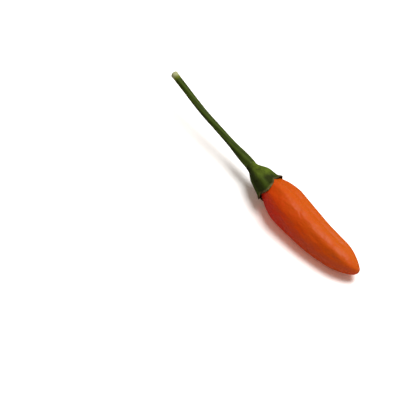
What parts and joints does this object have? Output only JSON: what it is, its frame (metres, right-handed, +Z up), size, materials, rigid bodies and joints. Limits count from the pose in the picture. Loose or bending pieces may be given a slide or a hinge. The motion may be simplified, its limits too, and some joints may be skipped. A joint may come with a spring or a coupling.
{
  "type": "chilli pepper",
  "caption": "Small fresh orange chilli pepper lying on its side, a short blunt tapering pod with a green toothed calyx and a long slender curved stem.",
  "frame": {"origin": "on the surface the chilli lies on, under the middle of its bounding box", "axes": "+X along the chilli from the free end of the stem to the tip of the pod, +Z up"},
  "size_m": [0.0928, 0.0122, 0.0145],
  "materials": {
    "chilli_skin": "smooth waxy orange skin with a soft gloss",
    "calyx_green": "dull dark green, ribbed, browner at the tips of the teeth",
    "stem_green": "dull dark green, finely ridged along its length, paler at the free end"
  },
  "bodies": {
    "root": {"pod": "chilli_skin", "calyx": "calyx_green", "stem": "stem_green"}
  },
  "joints": []
}
